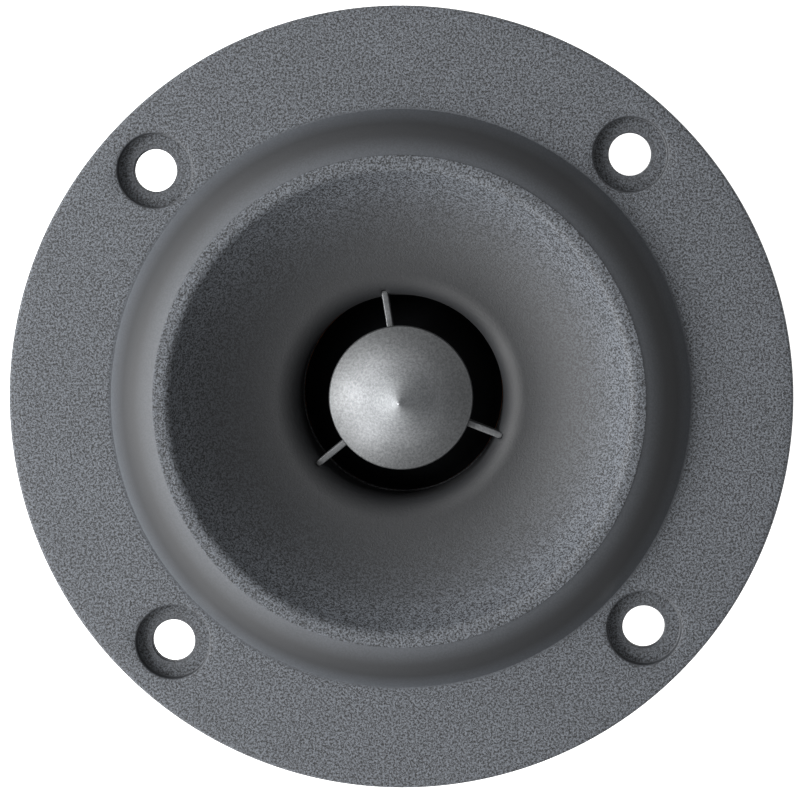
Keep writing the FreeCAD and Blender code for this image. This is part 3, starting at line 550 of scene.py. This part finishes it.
# ---------------------------------------------------------------------------------------------
# Carrier: a moulded ring that holds the surround's lip, set on the top plate by two brass pins
# and sealed to the horn by a foam gasket. Tinned tags and braided ribbons feed the coil.
# ---------------------------------------------------------------------------------------------
# Glass-filled nylon: a dull black with the clouding of glass near the surface.
dress(grained_finish("moulded_glass_filled_nylon", 0.5, "17181a", "242528", (0.5, 0.62), 0.02),
      "diaphragm_carrier")
# Closed-cell foam: dead matt, with open pores 0.35 mm across on its cut faces.
dress(grained_finish("closed_cell_foam", 0.35, "0e0e0f", "222223", (0.85, 0.95), 0.12), "carrier_gasket")
# Drawn brass: yellow metal with die lines along the pins.
dress(grained_finish("drawn_brass", 0.4, "a8863f", "c9a75c", (0.25, 0.4), 0.01, (1, 1, 0.2), Metallic=1.0),
      "locating_pins")
# Tinned brass: bright white metal, clouded where the tin ran.
dress(grained_finish("tinned_brass", 1.2, "b4b5b2", "d5d6d2", (0.2, 0.42), 0.015, Metallic=1.0),
      "carrier_tag_positive", "carrier_tag_negative", "solder_tag_positive", "solder_tag_negative")
# Braided copper: fine strands with painted glints of red and gold, and painted shade between them.
dress(grained_finish("braided_copper_ribbon", 0.16, "5e2f17", "c98a55", (0.3, 0.5), 0.06, Metallic=0.9),
      "lead_out_positive", "lead_out_negative")

# ---------------------------------------------------------------------------------------------
# Magnet system: a ring of ground ferrite between two zinc-plated steel plates, with the pole
# piece pressed into the back plate and a felt pad on its top to damp the air under the dome.
# ---------------------------------------------------------------------------------------------
# Zinc plate with a blue passivate: cloudy bright grey over turned steel.
dress(grained_finish("blue_zinc_plated_steel", 2.2, "8d9398", "b9bdbf", (0.26, 0.44), 0.02, (1, 1, 1.6),
                     Metallic=1.0), "top_plate", "back_plate", "pole_piece")
# Ground ferrite: charcoal ceramic with a grinder's fine grit, half dull and half shining.
dress(grained_finish("ground_ferrite", 0.45, "2a2b2d", "3c3d40", (0.5, 0.75), 0.05), "magnet")
# Wool felt: warm grey, quite without gloss, with matted fibres.
dress(grained_finish("wool_felt", 0.3, "4d4741", "7b746b", (0.92, 1.0), 0.25), "pole_felt")

# ---------------------------------------------------------------------------------------------
# Rear cover: a moulded ABS cup with a fine eroded grain, a sunk pocket for the terminals and
# four deep wells. Long black screws run through it and the top plate into the horn.
# ---------------------------------------------------------------------------------------------
# Fine-grained ABS: an even satin black, less coarse than the horn's face.
dress(grained_finish("fine_grained_black_abs", 0.3, "202124", "323337", (0.48, 0.62), 0.06), "rear_cover")
# Black zinc plate: dark metal that still mirrors a little, with cloudy patches.
dress(grained_finish("black_zinc_plated_steel", 0.8, "17181a", "2f3134", (0.28, 0.45), 0.02, Metallic=0.9),
      "assembly_screws", "terminal_board_screws")

# ---------------------------------------------------------------------------------------------
# Terminal board: brown paper phenolic sheet with a punched edge. The posts are nickel-plated
# brass with nuts behind the board; a plunger slides in each against its spring.
# ---------------------------------------------------------------------------------------------
# Paper phenolic: resin brown, with paper fibres about 0.5 mm wide that run along the board.
dress(grained_finish("brown_paper_phenolic", 0.5, "3a2415", "5a3a22", (0.32, 0.48), 0.01, (0.2, 2.5, 1),
                     **{"Coat Weight": 0.25}), "terminal_board")
# Bright nickel over brass: a warm white mirror, with the faint waves of machining under it.
dress(grained_finish("nickel_plated_brass", 0.9, "b3b0a8", "d6d4cd", (0.12, 0.26), 0.008, Metallic=1.0),
      "post_positive", "post_negative", "plunger_positive", "plunger_negative", "post_nuts")

# ---------------------------------------------------------------------------------------------
# Push buttons: moulded ABS caps, red on the positive side and black on the other, pressed on
# the plungers. A stainless compression spring inside each skirt pushes the cap outwards.
# ---------------------------------------------------------------------------------------------
# Glossy ABS: strong colour, with the faint orange-peel of a polished mould.
cap_finishes = {"positive": grained_finish("polished_red_abs", 1.5, "8e0d0f", "a51416", (0.2, 0.28), 0.01,
                                           **{"Coat Weight": 0.2}),
                "negative": grained_finish("polished_black_abs", 1.5, "0c0c0d", "151517", (0.2, 0.28), 0.01,
                                           **{"Coat Weight": 0.2})}
# Drawn stainless wire: bright, with fine die lines along it.
spring_wire = grained_finish("stainless_spring_wire", 0.3, "9c9d9e", "c4c5c6", (0.2, 0.34), 0.01,
                             Metallic=1.0)
skirt_bore_radius = 2.35
plunger_radius = 1.2
end_wall = 1.5
plunger_socket = 0.7
cap_rounding = 0.6
dish_depth = 0.15
flute_count = 20
flute_depth = 0.16
wire_radius = 0.2
spring_turns = 5


def fluted_cap(centre_x, low, high, radius):
    """Turned cap whose side is fluted: its radius is cut by depth * (1 + cos(flutes * t)) / 2 at angle t."""
    bore_end = low + end_wall
    profile = [(0.0, low + dish_depth)]
    profile += [(r, low + dish_depth * (1 - (r / 2.4) ** 2)) for r in (0.6, 1.2, 1.8, 2.4)]
    profile += arc((radius - cap_rounding, low), (radius, low + cap_rounding), cap_rounding, 1, 8).tolist()
    side_start = len(profile)
    profile += [(radius, low + height) for height in (0.9, 1.05, 1.2, 3.9, 4.05, 4.2)]
    side_end = len(profile)
    profile += arc((radius, high - 0.25), (radius - 0.25, high), 0.25, 1, 5).tolist()
    profile += [(skirt_bore_radius + 0.12, high), (skirt_bore_radius, high - 0.12),
                (skirt_bore_radius, bore_end), (plunger_radius, bore_end),
                (plunger_radius, bore_end - plunger_socket), (0.0, bore_end - plunger_socket)]
    rings = turned(profile, 240)
    turn = np.linspace(0, 2 * math.pi, 240, endpoint=False)
    cut = flute_depth * (1 + np.cos(flute_count * turn)) / 2
    share = np.array([0.0, 0.6, 1.0, 1.0, 0.6, 0.0])[:, None]
    scale = 1 - share * cut[None] / radius
    rings[side_start:side_end, :, :2] *= scale[:, :, None]
    rings[:, :, 0] += centre_x
    return rings


def coil_spring(centre_x, low, high, radius):
    """Helix swept by a round wire: its centre line is (R cos t, R sin t, z), with z eased at both ends."""
    steps = 40 * spring_turns + 1
    share = np.linspace(0, 1, steps)
    t = share * spring_turns * 2 * math.pi
    rise = share - 0.04 * np.sin(2 * math.pi * share)
    z = low + wire_radius + rise * (high - low - 2 * wire_radius)
    outward = np.stack([np.cos(t), np.sin(t), np.zeros(steps)], axis=1)
    up = np.array([0.0, 0.0, 1.0])
    round_wire = np.linspace(0, 2 * math.pi, 12, endpoint=False)
    thickness = np.full(steps, wire_radius)
    thickness[[0, -1]] = 0.0
    line = outward * radius
    line[:, 2] = z
    rings = (line[:, None] + thickness[:, None, None] * (outward[:, None] * np.cos(round_wire)[None, :, None]
                                                         + up * np.sin(round_wire)[None, :, None]))
    rings[:, :, 0] += centre_x
    return rings


for side in ("positive", "negative"):
    low, high = (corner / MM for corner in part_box("push_cap_" + side))
    middle_x = (low.x + high.x) / 2
    rings = fluted_cap(middle_x, low.z, high.z, (high.x - low.x) / 2)
    cap = solid_piece("fluted_cap_" + side, rings.reshape(-1, 3), grid_faces(*rings.shape[:2]).reshape(-1, 4),
                      "push_button_" + side, sharp_degrees=40.0)
    cap.data.materials.append(cap_finishes[side])
    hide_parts("push_cap_" + side)

    low, high = (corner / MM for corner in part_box("push_spring_" + side))
    rings = coil_spring(middle_x, low.z, high.z, (high.x - low.x) / 2 - wire_radius)
    spring = solid_piece("coil_spring_" + side, rings.reshape(-1, 3),
                         grid_faces(*rings.shape[:2]).reshape(-1, 4), "housing")
    spring.data.materials.append(spring_wire)
    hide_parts("push_spring_" + side)
    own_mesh(spring)

# ---------------------------------------------------------------------------------------------
# Hook-up wires: PVC-insulated, red and black, soldered between the solder tags behind the
# board and the tags on the carrier.
# ---------------------------------------------------------------------------------------------
# Extruded PVC: a soft sheen with a slight mottle.
dress(grained_finish("red_pvc_insulation", 0.8, "8a1512", "a21f1a", (0.35, 0.5), 0.01),
      "hookup_wire_positive")
dress(grained_finish("black_pvc_insulation", 0.8, "0d0d0e", "1a1a1b", (0.35, 0.5), 0.01),
      "hookup_wire_negative")

# ---------------------------------------------------------------------------------------------
# Studio: a white table that glows a little, so that it stays pale round the part and through
# its holes, three soft lights low on the left in an even white room, and a camera just off the axis.
# ---------------------------------------------------------------------------------------------
table_height = cad_low.z
table_mesh = bpy.data.meshes.new("white_table")
half = 3.0
table_mesh.from_pydata([(-half, -half, table_height), (half, -half, table_height), (half, half, table_height),
                        (-half, half, table_height)], [], [(0, 1, 2, 3)])
table = bpy.data.objects.new("white_table", table_mesh)
bpy.context.scene.collection.objects.link(table)
table.visible_shadow = False

# White acrylic sheet: bright from above; from below it is left clear, so that the back can be seen.
acrylic, output = new_material("white_acrylic_sheet")
sheet_face = add(acrylic, "ShaderNodeBsdfPrincipled", {"Base Color": srgb("e6e6e6"), "Roughness": 0.6,
                                                       "Emission Color": srgb("ffffff"),
                                                       "Emission Strength": 0.82})
clear = add(acrylic, "ShaderNodeBsdfTransparent")
facing = add(acrylic, "ShaderNodeNewGeometry")
side = add(acrylic, "ShaderNodeMixShader", {0: (facing, "Backfacing"), 1: (sheet_face, "BSDF"),
                                            2: (clear, "BSDF")})
acrylic.node_tree.links.new(side.outputs[0], output.inputs["Surface"])
table_mesh.materials.append(acrylic)


def softbox(name, place, target, size, power):
    """Square area light at a place, facing a target."""
    light = bpy.data.lights.new(name, "AREA")
    light.shape = "RECTANGLE"
    light.size, light.size_y = size
    light.energy = power
    lamp = bpy.data.objects.new(name, light)
    bpy.context.scene.collection.objects.link(lamp)
    lamp.location = place
    lamp.rotation_mode = "QUATERNION"
    lamp.rotation_quaternion = (Vector(target) - Vector(place)).to_track_quat("-Z", "Y")
    return lamp


softbox("left_softbox", (-0.508, 0, 0.356), (0, 0, 0), (0.3, 0.3), 5.7)
softbox("lower_left_softbox", (-0.38, -0.38, 0.31), (0, 0, 0), (0.3, 0.3), 3.1)
softbox("upper_left_softbox", (-0.38, 0.38, 0.31), (0, 0, 0), (0.3, 0.3), 1.5)
softbox("under_fill", (-0.3, -0.5, -0.7), (0, 0, -0.03), (0.8, 0.8), 8.0)

world = bpy.data.worlds.new("studio_air")
world.use_nodes = True
world.node_tree.nodes["Background"].inputs["Color"].default_value = srgb("ffffff")
world.node_tree.nodes["Background"].inputs["Strength"].default_value = 0.48
bpy.context.scene.world = world

# The camera stands 420 mm from the flange, 4.5 degrees off the axis, rolled by 1.94 degrees.
camera_distance = 0.42
off_axis = math.radians(4.5)
lean = math.radians(66.0)
roll = math.radians(1.94)
frame_width = 0.09985
aim = Vector((0, 0, flange_top * MM))
away = Vector((math.sin(off_axis) * math.cos(lean), math.sin(off_axis) * math.sin(lean), math.cos(off_axis)))
camera_data = bpy.data.cameras.new("studio_camera")
camera = bpy.data.objects.new("studio_camera", camera_data)
bpy.context.scene.collection.objects.link(camera)
camera.location = aim + away * camera_distance
up = Vector((math.sin(roll), math.cos(roll), 0))
side_axis = up.cross(away).normalized()
up_axis = away.cross(side_axis)
camera.rotation_euler = Matrix((side_axis, up_axis, away)).transposed().to_euler()
camera_data.sensor_width = 36.0
camera_data.lens = camera_data.sensor_width * camera_distance / frame_width
camera_data.clip_start = 0.01
camera_data.clip_end = 20.0
bpy.context.scene.camera = camera
bpy.context.scene.view_settings.view_transform = "Standard"
